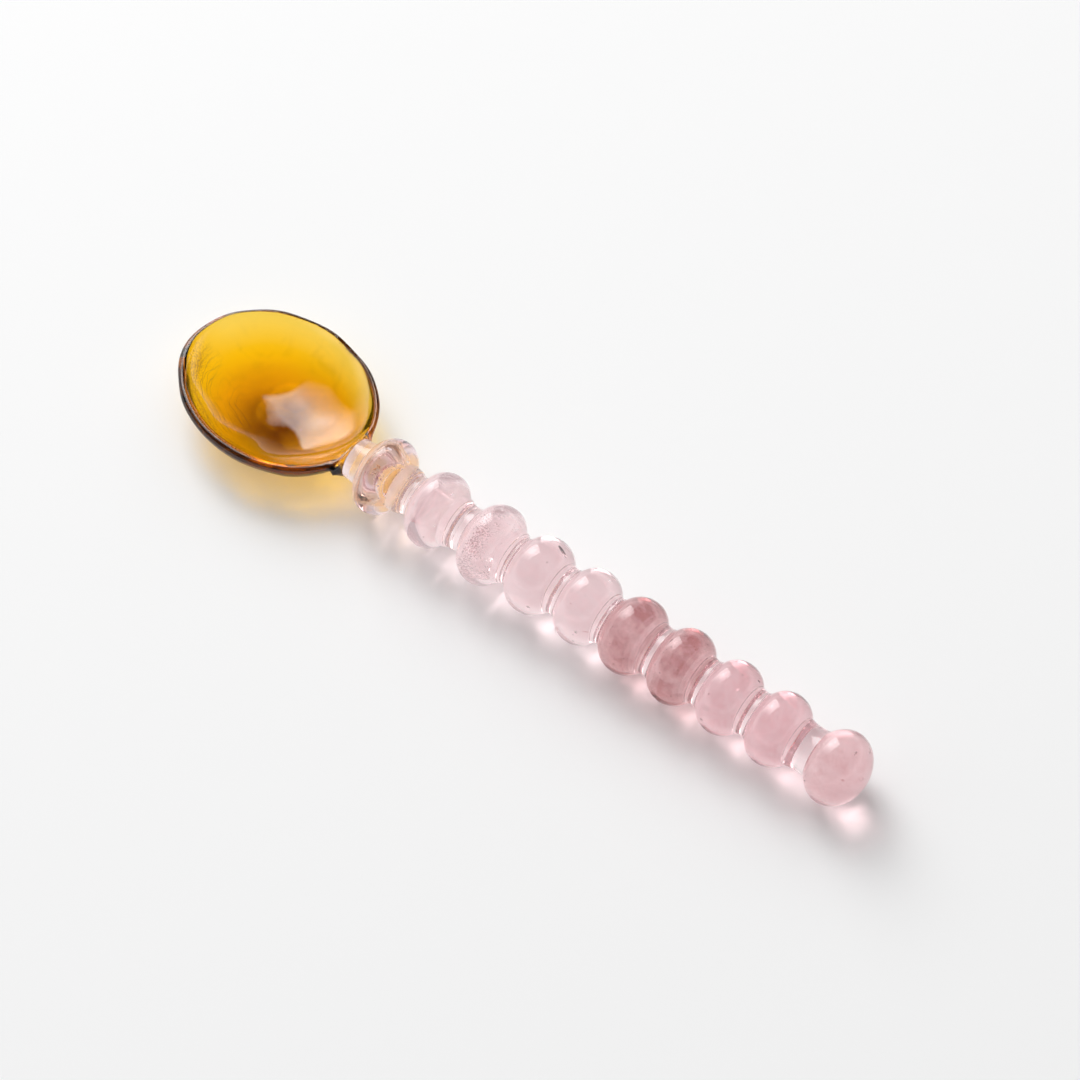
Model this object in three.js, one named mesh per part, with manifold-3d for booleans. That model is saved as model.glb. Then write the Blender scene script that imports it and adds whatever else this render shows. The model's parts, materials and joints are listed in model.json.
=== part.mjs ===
// Glass spoon: an amber bowl with a heel, fused to a rose handle of beads wound on a core rod.
// Millimetres, +Z up. The origin is the middle of the ground flat under the bowl, on the table.
// +X runs parallel to the handle, from the bowl towards the end knob.
import * as THREE from 'three';
import { mergeVertices } from 'three/addons/utils/BufferGeometryUtils.js';
import Module from 'manifold-3d';

const wasm = await Module();
wasm.setup();

// Bowl: an oval dish that thins towards a full round lip, with a small flat ground under it.
// The slopes are those of the hollow and of the outer wall where they run into the lip.
const BOWL_HALF_LENGTH = 21.0;
const BOWL_HALF_WIDTH = 16.55;
const LIP_MIDDLE_HEIGHT = 7.9;
const LIP_RADIUS = 1.1;
const FLOOR_THICKNESS = 2.4;
const HOLLOW_RIM_SLOPE = THREE.MathUtils.degToRad(57);
const WALL_RIM_SLOPE = THREE.MathUtils.degToRad(78);
const GROUND_DEPTH = 0.3;

// Heel: the amber glass that flows from the lip to the joint with the handle
const HEEL_LENGTH = 0.25;
const HEEL_ROOT_HALF_WIDTH = 5.6;
const HEEL_ROOT_DROP = 0.25;
const HEEL_ROOT_DEPTH = 3.2;
const BOWL_TURN = THREE.MathUtils.degToRad(8.7);

// Glass colours
const AMBER = 0xe0a010;
const CLEAR_ROSE = 0xeccfd3;
const ROSE = 0xd9a3ae;
const DEEP_ROSE = 0xc47d86;

// Handle: each neck is a plain length of the core rod, and the rod tapers inside each bead.
// step is the distance from the middle of the piece before, or from the joint for the first bead.
const FIRST_NECK_RADIUS = 4.15;
const BEADS = [
  { name: 'bead_1', step: 7.6, radius: 7.55, halfLength: 4.5, neckAfter: 4.1, color: CLEAR_ROSE },
  { name: 'bead_2', step: 11.6, radius: 7.4, halfLength: 4.3, neckAfter: 4.55, color: CLEAR_ROSE },
  { name: 'bead_3', step: 12.2, radius: 7.8, halfLength: 4.3, neckAfter: 4.85, color: CLEAR_ROSE },
  { name: 'bead_4', step: 10.75, radius: 7.5, halfLength: 4.3, neckAfter: 4.85, color: CLEAR_ROSE },
  { name: 'bead_5', step: 10.85, radius: 7.35, halfLength: 4.05, neckAfter: 4.8, color: CLEAR_ROSE },
  { name: 'bead_6', step: 10.0, radius: 7.4, halfLength: 4.1, neckAfter: 5.0, color: DEEP_ROSE },
  { name: 'bead_7', step: 10.8, radius: 7.3, halfLength: 4.0, neckAfter: 4.65, color: DEEP_ROSE },
  { name: 'bead_8', step: 10.4, radius: 7.1, halfLength: 4.0, neckAfter: 4.6, color: ROSE },
  { name: 'bead_9', step: 10.5, radius: 7.1, halfLength: 4.05, neckAfter: 4.55, color: ROSE },
];
const KNOB_STEP = 12.9;
const KNOB_RADIUS = 7.1;
const KNOB_HALF_LENGTH = 5.45;
const TABLE_CLEARANCE = 0.15;
const FUSED_GAP = 0.25;

// Facets
const BOWL_SEGMENTS = 56;
const ROUND_SEGMENTS = 32;
const ARC_STEPS = 9;
const BEAD_STEPS = 10;
const LIP_STEPS = 6;
const HEEL_STEPS = 8;

function glass(color) {
  return new THREE.MeshStandardMaterial({ color, roughness: 0.04, metalness: 0, transparent: true, opacity: 0.7 });
}

function namedMesh(name, geometry, color) {
  const mesh = new THREE.Mesh(geometry, glass(color));
  mesh.name = name;
  return mesh;
}

// Points of an elliptical arc, from one angle to another, in the plane of a profile
function ellipseArc(centre, halfX, halfY, from, to, steps) {
  const points = [];
  for (let i = 0; i <= steps; i += 1) {
    const angle = from + ((to - from) * i) / steps;
    points.push(new THREE.Vector2(centre.x + halfX * Math.cos(angle), centre.y + halfY * Math.sin(angle)));
  }
  return points;
}

function toSolid(geometry) {
  const bare = geometry.clone();
  bare.deleteAttribute('normal');
  bare.deleteAttribute('uv');
  const merged = mergeVertices(bare, 1e-4);
  const corners = merged.index.array;
  const triangles = [];
  for (let i = 0; i < corners.length; i += 3) {
    const [a, b, c] = corners.slice(i, i + 3);
    if (a !== b && b !== c && c !== a) triangles.push(a, b, c);
  }
  return new wasm.Manifold(new wasm.Mesh({
    numProp: 3,
    vertProperties: new Float32Array(merged.attributes.position.array),
    triVerts: new Uint32Array(triangles),
  }));
}

function toGeometry(solid) {
  const mesh = solid.getMesh();
  const geometry = new THREE.BufferGeometry();
  geometry.setAttribute('position', new THREE.BufferAttribute(new Float32Array(mesh.vertProperties), 3));
  geometry.setIndex(new THREE.BufferAttribute(new Uint32Array(mesh.triVerts), 1));
  geometry.computeVertexNormals();
  return geometry;
}

// A closed skin over a row of oval sections, each with its middle, sideways and upward half axes
function loft(sections, segments) {
  const positions = [];
  const indices = [];
  sections.forEach(({ middle, side, up }) => {
    for (let j = 0; j < segments; j += 1) {
      const angle = (2 * Math.PI * j) / segments;
      const point = middle.clone().addScaledVector(side, Math.cos(angle)).addScaledVector(up, Math.sin(angle));
      positions.push(point.x, point.y, point.z);
    }
  });
  for (let i = 0; i + 1 < sections.length; i += 1) {
    for (let j = 0; j < segments; j += 1) {
      const next = (j + 1) % segments;
      const a = i * segments + j;
      const b = i * segments + next;
      const c = a + segments;
      const d = b + segments;
      indices.push(a, b, d, a, d, c);
    }
  }
  const last = (sections.length - 1) * segments;
  for (let j = 1; j + 1 < segments; j += 1) {
    indices.push(0, j + 1, j);
    indices.push(last, last + j, last + j + 1);
  }
  const geometry = new THREE.BufferGeometry();
  geometry.setAttribute('position', new THREE.Float32BufferAttribute(positions, 3));
  geometry.setIndex(indices);
  return geometry;
}

// Places along the handle, measured from the joint
let along = 0;
let neckRadius = FIRST_NECK_RADIUS;
const placedBeads = BEADS.map((bead) => {
  along += bead.step;
  const placed = { ...bead, middle: along, neckBefore: neckRadius };
  neckRadius = bead.neckAfter;
  return placed;
});
const knobMiddle = along + KNOB_STEP;
const lastNeckRadius = neckRadius;

// The handle leans just enough for every bead to clear the table while the knob rests on it
const leanSlope = Math.max(0, ...placedBeads.map(
  (bead) => (bead.radius + TABLE_CLEARANCE - KNOB_RADIUS) / (knobMiddle - bead.middle),
));
const handleLean = Math.atan(leanSlope);
const jointReach = BOWL_HALF_LENGTH + HEEL_LENGTH;
const joint = new THREE.Vector3(
  jointReach * Math.cos(BOWL_TURN),
  -jointReach * Math.sin(BOWL_TURN),
  KNOB_RADIUS + knobMiddle * leanSlope,
);

// The ellipse about the bowl's axis that is level at its bottom and has the given slope where it ends
function dishEllipse(bottom, end, slope) {
  const rise = end.y - bottom;
  const sine = rise / (Math.tan(slope) * end.x - rise);
  const halfHeight = rise / (1 - sine);
  return {
    centre: new THREE.Vector2(0, bottom + halfHeight),
    halfWidth: end.x / Math.sqrt(1 - sine ** 2),
    halfHeight,
    endAngle: -Math.asin(sine),
  };
}

// The dish is turned about its own axis and stretched along its length
function dishGeometry() {
  const lipMiddle = new THREE.Vector2(BOWL_HALF_WIDTH - LIP_RADIUS, LIP_MIDDLE_HEIGHT);
  const lipStart = WALL_RIM_SLOPE - Math.PI / 2;
  const lipEnd = HOLLOW_RIM_SLOPE + Math.PI / 2;
  const lip = ellipseArc(lipMiddle, LIP_RADIUS, LIP_RADIUS, lipStart, lipEnd, LIP_STEPS);
  const wall = dishEllipse(-GROUND_DEPTH, lip[0], WALL_RIM_SLOPE);
  const groundAngle = -Math.asin(wall.centre.y / wall.halfHeight);
  const outer = ellipseArc(wall.centre, wall.halfWidth, wall.halfHeight, groundAngle, wall.endAngle, ARC_STEPS);
  const hollow = dishEllipse(FLOOR_THICKNESS, lip[LIP_STEPS], HOLLOW_RIM_SLOPE);
  const inner = ellipseArc(
    hollow.centre, hollow.halfWidth, hollow.halfHeight, hollow.endAngle, -Math.PI / 2, ARC_STEPS,
  );
  const ground = new THREE.Vector2(0, 0);
  const floor = new THREE.Vector2(0, FLOOR_THICKNESS);
  const profile = [ground, ...outer, ...lip.slice(1, -1), ...inner.slice(0, -1), floor];
  const dish = new THREE.LatheGeometry(profile, BOWL_SEGMENTS);
  dish.rotateX(Math.PI / 2);
  dish.scale(BOWL_HALF_LENGTH / BOWL_HALF_WIDTH, 1, 1);
  return dish.rotateZ(-BOWL_TURN);
}

// The heel starts inside the lip, as wide and deep as the wall there, and ends square to the rod
function heelGeometry() {
  const stretch = BOWL_HALF_LENGTH / BOWL_HALF_WIDTH;
  const rootReach = BOWL_HALF_LENGTH - LIP_RADIUS * stretch;
  const rootTop = LIP_MIDDLE_HEIGHT + LIP_RADIUS - HEEL_ROOT_DROP;
  const root = new THREE.Vector3(
    rootReach * Math.cos(BOWL_TURN),
    -rootReach * Math.sin(BOWL_TURN),
    rootTop - HEEL_ROOT_DEPTH / 2,
  );
  const rodDirection = new THREE.Vector3(Math.cos(handleLean), 0, -Math.sin(handleLean));
  const end = joint.clone().addScaledVector(rodDirection, -FUSED_GAP / 2);
  const sections = [];
  for (let i = 0; i <= HEEL_STEPS; i += 1) {
    const share = i / HEEL_STEPS;
    const flare = (1 - share) ** 2;
    const turn = BOWL_TURN * (1 - share);
    const lean = handleLean * share;
    const halfWidth = THREE.MathUtils.lerp(FIRST_NECK_RADIUS, HEEL_ROOT_HALF_WIDTH, flare);
    const halfHeight = THREE.MathUtils.lerp(FIRST_NECK_RADIUS, HEEL_ROOT_DEPTH / 2, flare);
    sections.push({
      middle: root.clone().lerp(end, share),
      side: new THREE.Vector3(Math.sin(turn), Math.cos(turn), 0).multiplyScalar(halfWidth),
      up: new THREE.Vector3(Math.sin(lean), 0, Math.cos(lean)).multiplyScalar(halfHeight),
    });
  }
  return loft(sections, ROUND_SEGMENTS);
}

function bowlMesh() {
  const solid = toSolid(dishGeometry()).add(toSolid(heelGeometry()));
  return namedMesh('bowl', toGeometry(solid), AMBER);
}

// A revolved piece of the handle: profile points give the distance along it and the radius there
function turned(points) {
  const profile = points.map(([distance, radius]) => new THREE.Vector2(radius, distance));
  return new THREE.LatheGeometry(profile, ROUND_SEGMENTS).rotateZ(-Math.PI / 2);
}

function rodMesh() {
  const points = [[FUSED_GAP / 2, 0], [FUSED_GAP / 2, FIRST_NECK_RADIUS]];
  placedBeads.forEach(({ middle, halfLength, neckBefore, neckAfter }) => {
    points.push([middle - halfLength, neckBefore], [middle + halfLength, neckAfter]);
  });
  points.push([knobMiddle, lastNeckRadius], [knobMiddle, 0]);
  return namedMesh('core_rod', turned(points), ROSE);
}

// A bead swells from the rod in a round arc, and its bore follows the rod's taper
function beadMesh({ name, middle, radius, halfLength, neckBefore, neckAfter, color }) {
  const boreBefore = neckBefore + FUSED_GAP;
  const boreAfter = neckAfter + FUSED_GAP;
  const rise = radius - (boreBefore + boreAfter) / 2;
  const arcRadius = (halfLength ** 2 + rise ** 2) / (2 * rise);
  const endAngle = 2 * Math.atan(rise / halfLength);
  const points = [];
  for (let i = 0; i <= BEAD_STEPS; i += 1) {
    const angle = endAngle * ((2 * i) / BEAD_STEPS - 1);
    const offset = arcRadius * Math.sin(angle);
    const bore = THREE.MathUtils.lerp(boreBefore, boreAfter, (1 + offset / halfLength) / 2);
    const swell = (arcRadius * (Math.cos(angle) - Math.cos(endAngle))) / rise;
    points.push([middle + offset, THREE.MathUtils.lerp(bore, radius, swell)]);
  }
  points.push(points[0]);
  return namedMesh(name, turned(points), color);
}

// The knob is a flattened ball, with a blind socket over the rod's end
function knobMesh() {
  const socketRadius = lastNeckRadius + FUSED_GAP;
  const mouthAngle = Math.PI - Math.asin(socketRadius / KNOB_RADIUS);
  const socketEnd = knobMiddle + FUSED_GAP;
  const points = [[socketEnd, 0], [socketEnd, socketRadius]];
  for (let i = 0; i < ARC_STEPS; i += 1) {
    const angle = mouthAngle * (1 - i / ARC_STEPS);
    points.push([knobMiddle + KNOB_HALF_LENGTH * Math.cos(angle), KNOB_RADIUS * Math.sin(angle)]);
  }
  points.push([knobMiddle + KNOB_HALF_LENGTH, 0]);
  return namedMesh('end_knob', turned(points), ROSE);
}

const handle = new THREE.Group();
handle.position.copy(joint);
handle.rotation.y = handleLean;
handle.add(rodMesh());
placedBeads.forEach((bead) => handle.add(beadMesh(bead)));
handle.add(knobMesh());

const spoon = new THREE.Group();
spoon.add(bowlMesh());
spoon.add(handle);

export default spoon;
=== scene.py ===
"""Glass spoon: an amber bowl fused to a rose handle of beads wound on a core rod."""

import itertools
import json
import math

import bmesh
import bpy
import numpy as np
from bpy.props import FloatProperty, FloatVectorProperty, IntProperty, PointerProperty
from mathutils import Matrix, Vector


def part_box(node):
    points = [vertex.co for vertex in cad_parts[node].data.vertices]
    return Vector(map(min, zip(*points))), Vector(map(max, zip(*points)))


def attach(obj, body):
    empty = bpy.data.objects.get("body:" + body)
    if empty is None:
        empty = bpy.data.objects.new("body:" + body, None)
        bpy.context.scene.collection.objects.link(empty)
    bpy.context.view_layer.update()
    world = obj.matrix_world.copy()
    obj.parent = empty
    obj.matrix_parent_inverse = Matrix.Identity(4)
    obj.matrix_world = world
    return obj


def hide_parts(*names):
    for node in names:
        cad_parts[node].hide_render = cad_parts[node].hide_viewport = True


bl_info = {
    "name": "Glass Spoon",
    "version": (1, 0, 0),
    "blender": (4, 5, 0),
    "location": "View3D > Sidebar > Glass Spoon",
    "description": "Builds a flameworked glass spoon piece by piece around its packed solids",
    "category": "Object",
}

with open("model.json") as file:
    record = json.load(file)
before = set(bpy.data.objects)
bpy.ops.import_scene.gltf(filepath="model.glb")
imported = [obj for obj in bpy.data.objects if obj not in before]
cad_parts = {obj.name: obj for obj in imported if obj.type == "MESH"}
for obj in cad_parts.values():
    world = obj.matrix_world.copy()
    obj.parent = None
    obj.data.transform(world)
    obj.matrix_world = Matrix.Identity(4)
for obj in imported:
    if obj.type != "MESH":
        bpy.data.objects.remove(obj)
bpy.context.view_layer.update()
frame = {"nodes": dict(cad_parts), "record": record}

MM = 0.001
BODY = "root"
SENSOR_WIDTH = 36.0

# Least divisor where a distance can be zero
TINY = 1e-9

# Refraction at a face that is open to the air, and at one that is fused to the next piece
GLASS_IOR = 1.5
FUSED_IOR = 1.0

# Gaps that keep fused pieces from sharing a face: round the rod, and between the heel and the rod
BORE_GAP = 0.01 * MM
HEEL_GAP = 0.1 * MM

# Middle of the painted shade in the bowl, a darker amber that stands for the shadowed floor seen through it,
# and the distances from it at which that is full and gone
SHADE_MIDDLE = (3.0 * MM, -2.5 * MM, 2.0 * MM)
HEART_SHADE_FULL = 5.0 * MM
HEART_SHADE_GONE = 15.0 * MM

# Light that a mark in the amber, a speck in the rose and glass without colour pass
AMBER_MARK = (0.4, 0.22, 0.05, 1.0)
ROSE_SPECK = (0.75, 0.45, 0.45, 1.0)
CLEAR = (1.0, 1.0, 1.0, 1.0)

# How far the normal of the bowl's edge leans out where the painted shade of the near wall starts, and where
# it is full
WALL_SHADE_START = -0.35
WALL_SHADE_FULL = -0.05

# Share of the bowl's half width beyond which its highest points are the lip
LIP_RING = 0.8

# Distance from the bowl's axis within which a vertex is the middle of its floor
AXIS_REACH = 0.1 * MM

# Waves in the bowl: their number, their seed, and the longest as a multiple of the shortest
WAVES = 7
WAVE_SEED = 4
LONGEST_WAVE = 2.2

# How far before and beyond a bead's end its collar starts and stops, on the beads that have one
COLLARS = {
    "bead_1": (1.6 * MM, 0.5 * MM),
    "bead_2": (1.0 * MM, 0.3 * MM),
    "bead_3": (0.6 * MM, 0.45 * MM),
}

# Change of refraction in the grain of air that two beads trap on the rod, and in the seeds on the rod
AIR_GRAINS = {"bead_1": 0.3, "bead_3": 0.35}
SEED_AIR = 0.4

# Air bubbles in the beads that hold many of them, and in each other bead
BUBBLES = {"bead_1": 30, "bead_3": 40, "bead_6": 26, "bead_7": 26}
FEW_BUBBLES = 5

# Where bubbles lie: the shares of a bead's length, and the share of its glass from the rod outwards
BUBBLE_LOW = 0.2
BUBBLE_HIGH = 0.8
BUBBLE_DEPTH = 0.7

# Ripples of a turned piece: lobes round the handle, turn along it and height of each.
# Over the ripple length along the handle a turn of 1 is one radian.
RIPPLES = ((2, 1, 1.0), (3, -1, 0.6), (5, 2, 0.4))
RIPPLE_TOP = sum(height for _, _, height in RIPPLES)
RIPPLE_LENGTH = 4.0 * MM
KNOB_SEED = 11

# Share of its saddle by which a neck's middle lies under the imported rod
NECK_DROP = 0.35

# Rise of the knob's fillet as a share of its length
KNOB_FILLET_RISE = 0.8

# How finely the meshes are divided, and how near to a cut or to each other vertices are one
BUBBLE_RINGS = 7
BUBBLE_SIDES = 12
FILLET_STEPS = 8
NECK_STEPS = 16
COVERED_POINTS = 7
BORE_STRIDE = 6
KNOB_BORE_POINTS = 5
CUT_TOLERANCE = 1e-7
SHORTEST_EDGE = 0.005 * MM


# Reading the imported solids

def node_points(name):
    """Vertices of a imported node, one row each, in metres."""
    vertices = frame["nodes"][name].data.vertices
    points = np.empty(len(vertices) * 3, np.float32)
    vertices.foreach_get("co", points)
    return points.reshape(-1, 3).astype(float)


def middle(name):
    """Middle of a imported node's box."""
    low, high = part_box(name)
    return (low + high) / 2


BEADS = sorted(name for name in frame["nodes"] if name.startswith("bead_"))
HANDLE_START = np.array(middle(BEADS[0]))
HANDLE_AXIS = np.array((middle(BEADS[-1]) - middle(BEADS[0])).normalized())
HANDLE_SIDE = np.array((0.0, 1.0, 0.0))
HANDLE_UP = np.cross(HANDLE_AXIS, HANDLE_SIDE)


def turned_profile(name):
    """Distance along the handle, and from its axis, of each vertex of a turned node."""
    offset = node_points(name) - HANDLE_START
    along = offset @ HANDLE_AXIS
    radius = np.linalg.norm(offset - along[:, None] * HANDLE_AXIS, axis=1)
    order = np.argsort(along, kind="stable")
    return along[order], radius[order]


def rod_profile():
    """Distance along the handle, and radius, of the core rod, without the middles of its ends."""
    along, radius = turned_profile("core_rod")
    off_axis = radius > MM
    return along[off_axis], radius[off_axis]


ROD_ALONG, ROD_RADIUS = rod_profile()
ROD_START = ROD_ALONG[0]
ROD_END = ROD_ALONG[-1]
JOINT = HANDLE_START + HANDLE_AXIS * ROD_START


def rod_radius(along):
    """Radius of the core rod at a distance along the handle."""
    return np.interp(along, ROD_ALONG, ROD_RADIUS)


def oval_distance(x, y, half_x, half_y):
    """About the distance from an ellipse, negative inside it."""
    near = np.hypot(x / half_x, y / half_y)
    slope = np.hypot(x / half_x ** 2, y / half_y ** 2)
    return near * (near - 1) / np.maximum(slope, TINY)


class BowlShape:
    """The bowl's own sizes and axes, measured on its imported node."""

    def __init__(self, sizes):
        points = node_points("bowl")
        self.turn = math.atan2(-JOINT[1], JOINT[0])
        self.lengthwise = np.array((math.cos(self.turn), -math.sin(self.turn), 0.0))
        self.crosswise = np.array((math.sin(self.turn), math.cos(self.turn), 0.0))
        along = points @ self.lengthwise
        across = np.abs(points @ self.crosswise)
        self.half_length = -along.min()
        self.half_width = across.max()
        self.lip_top = points[along < 0, 2].max()
        on_axis = np.hypot(points[:, 0], points[:, 1]) < AXIS_REACH
        self.floor = points[on_axis, 2].max()
        self.sizes = sizes

    def oval(self, points):
        """Distances along and across the bowl, with its oval drawn to a round of its half width."""
        return points @ self.lengthwise * self.half_width / self.half_length, points @ self.crosswise

    def ring(self, points):
        """Distance from the bowl's axis as a share of its half width, with the oval drawn round."""
        return np.hypot(*self.oval(points)) / self.half_width

    def lip_radius(self, points):
        """Radius of the lip at the place on the rim that each point lies under or over."""
        along, across = self.oval(points)
        side = across / np.maximum(np.hypot(along, across), TINY)
        share = (1 + side) / 2
        return self.sizes.lip_radius + (self.sizes.thin_lip_radius - self.sizes.lip_radius) * share


def ellipse_distance(radius, height, bottom, end_radius, end_height, slope):
    """About the distance from the ellipse about the bowl's axis that is level at its bottom
    and has the given slope where it ends."""
    rise = end_height - bottom
    sine = rise / (math.tan(slope) * end_radius - rise)
    half_height = rise / (1 - sine)
    half_width = end_radius / np.sqrt(1 - sine ** 2)
    return oval_distance(radius, height - bottom - half_height, half_width, half_height)


# Sizes and colours that a user would change

class SpoonBowlSizes(bpy.types.PropertyGroup):
    """Sizes of the bowl's skin that the solids leave open"""

    lip_radius: FloatProperty(
        name="Lip radius", description="Radius of the round lip on the side that looks along -Y",
        default=1.0 * MM, unit="LENGTH")
    thin_lip_radius: FloatProperty(
        name="Thin lip radius", description="Radius of the round lip on the side that looks along +Y",
        default=0.45 * MM, unit="LENGTH")
    hollow_slope: FloatProperty(
        name="Hollow slope", description="Slope of the hollow where it runs into the lip",
        default=math.radians(57.0), subtype="ANGLE")
    wall_slope: FloatProperty(
        name="Wall slope", description="Slope of the outer wall where it runs into the lip",
        default=math.radians(78.0), subtype="ANGLE")
    ground_depth: FloatProperty(
        name="Ground depth", description="Depth ground off the round underside to make the flat",
        default=0.3 * MM, unit="LENGTH")
    inset: FloatProperty(
        name="Inset", description="Room kept for the waves inside the solid",
        default=0.1 * MM, unit="LENGTH")
    # Painted shade: the brown band on the near wall stands for the shadowed floor that the wall looks at
    wall_band: FloatProperty(
        name="Wall band", description="Depth under the lip's top of the brown band on the wall",
        default=4.0 * MM, unit="LENGTH")
    heel_half_width: FloatProperty(
        name="Heel half width", description="Half width of the heel where it leaves the lip",
        default=5.3 * MM, unit="LENGTH")
    heel_depth: FloatProperty(
        name="Heel depth", description="Depth of the heel where it leaves the lip",
        default=3.2 * MM, unit="LENGTH")
    heel_blend: FloatProperty(
        name="Heel blend", description="Reach of the soft fillet between heel and dish",
        default=1.8 * MM, unit="LENGTH")
    wave_height: FloatProperty(
        name="Wave height", description="Height of the slow waves left by pressing the hot glass",
        default=0.08 * MM, unit="LENGTH")
    wave_length: FloatProperty(
        name="Wave length", description="Shortest length of those waves",
        default=7.0 * MM, unit="LENGTH")
    cell: FloatProperty(
        name="Cell", description="Edge of the grid that the skin is drawn on",
        default=0.3 * MM, unit="LENGTH")


class SpoonHandleSizes(bpy.types.PropertyGroup):
    """Sizes of the handle's skin that the solids leave open"""

    fillet: FloatProperty(
        name="Fillet", description="Length of the hollow fillet at each end of a bead",
        default=0.2 * MM, unit="LENGTH")
    fillet_rise: FloatProperty(
        name="Fillet rise", description="Height that a bead gains over its fillet",
        default=0.17 * MM, unit="LENGTH")
    collar_rise: FloatProperty(
        name="Collar rise", description="Height of the collar that the first beads end in",
        default=0.35 * MM, unit="LENGTH")
    seam: FloatProperty(
        name="Seam", description="Height over the bare rod at which a bead ends",
        default=0.24 * MM, unit="LENGTH")
    saddle: FloatProperty(
        name="Saddle", description="Height that a neck gains from its middle to its ends",
        default=0.36 * MM, unit="LENGTH")
    ripple: FloatProperty(
        name="Ripple", description="Height of the slow ripples left by winding the hot glass",
        default=0.05 * MM, unit="LENGTH")
    small_bubble: FloatProperty(
        name="Small bubble", description="Radius of the smallest bubble in a bead",
        default=0.05 * MM, unit="LENGTH")
    large_bubble: FloatProperty(
        name="Large bubble", description="Radius of the largest bubble in a bead",
        default=0.12 * MM, unit="LENGTH")
    segments: IntProperty(name="Segments", description="Facets round the handle", default=144)
    steps: IntProperty(name="Steps", description="Rings of facets over a bead's crown", default=48)


class SpoonGlassColours(bpy.types.PropertyGroup):
    """Light that each glass passes: a millimetre of its body, its skin, and the cloudy core of a bead. Some
    of these are painted light and shade: the bowl's darker middle and brown near wall are painted shade, its
    paler far rim is painted light, and the first bead's golden core is a painted reflection of the bowl.
    """

    amber: FloatVectorProperty(
        name="Amber", description="Light that a millimetre of the bowl's glass passes",
        default=(0.99, 0.968, 0.88), subtype="COLOR")
    amber_skin: FloatVectorProperty(
        name="Amber skin", description="Light that the skin of the bowl passes",
        default=(0.98, 0.595, 0.004), subtype="COLOR")
    # Painted shade: the darker amber in the bowl's middle stands for the shadowed floor seen through it
    amber_heart: FloatVectorProperty(
        name="Amber heart", description="Light that the skin passes in the bowl's deep middle",
        default=(0.3, 0.11, 0.003), subtype="COLOR")
    # Painted shade: the near wall's dark brown stands for the shadowed floor seen in it
    amber_wall: FloatVectorProperty(
        name="Amber wall", description="Light that the skin passes on the brown side of the wall",
        default=(0.008, 0.0025, 0.0005), subtype="COLOR")
    # Painted light: the paler skin on the far side stands for the lit floor seen through thin glass there
    amber_rim: FloatVectorProperty(
        name="Amber rim", description="Light that the skin passes towards the pale side of the rim",
        default=(1.0, 0.72, 0.12), subtype="COLOR")
    clear_rose: FloatVectorProperty(
        name="Clear rose", description="Light that a millimetre of the first beads' glass passes",
        default=(0.9994, 0.9936, 0.9944), subtype="COLOR")
    clear_rose_skin: FloatVectorProperty(
        name="Clear rose skin", description="Light that the skin of the first beads passes",
        default=(0.99, 0.892, 0.904), subtype="COLOR")
    clear_rose_core: FloatVectorProperty(
        name="Clear rose core", description="Light that the core of the first beads passes",
        default=(0.97, 0.93, 0.93), subtype="COLOR")
    # Painted reflection: the golden core of the bead beside the bowl stands for the amber bowl seen through
    # it
    golden_core: FloatVectorProperty(
        name="Golden core", description="Light that the core of the bead beside the bowl passes",
        default=(1.0, 0.82, 0.48), subtype="COLOR")
    deep_rose: FloatVectorProperty(
        name="Deep rose", description="Light that a millimetre of the darkest beads' glass passes",
        default=(0.993, 0.974, 0.975), subtype="COLOR")
    deep_rose_skin: FloatVectorProperty(
        name="Deep rose skin", description="Light that the skin of the darkest beads passes",
        default=(0.935, 0.755, 0.765), subtype="COLOR")
    deep_rose_core: FloatVectorProperty(
        name="Deep rose core", description="Light that the core of the darkest beads passes",
        default=(0.5, 0.25, 0.25), subtype="COLOR")
    rose: FloatVectorProperty(
        name="Rose", description="Light that a millimetre of the last beads' and the knob's glass passes",
        default=(0.9955, 0.983, 0.985), subtype="COLOR")
    rose_skin: FloatVectorProperty(
        name="Rose skin", description="Light that the skin of the last beads passes",
        default=(0.968, 0.826, 0.845), subtype="COLOR")
    rose_core: FloatVectorProperty(
        name="Rose core", description="Light that the core of the last beads passes",
        default=(0.93, 0.78, 0.79), subtype="COLOR")
    knob_skin: FloatVectorProperty(
        name="Knob skin", description="Light that the skin of the end knob passes",
        default=(0.9, 0.745, 0.752), subtype="COLOR")
    rod: FloatVectorProperty(
        name="Rod", description="Light that a millimetre of the core rod's glass passes",
        default=(0.9992, 0.9928, 0.9936), subtype="COLOR")
    rod_skin: FloatVectorProperty(
        name="Rod skin", description="Light that the skin of the core rod passes",
        default=(0.988, 0.907, 0.916), subtype="COLOR")


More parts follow.
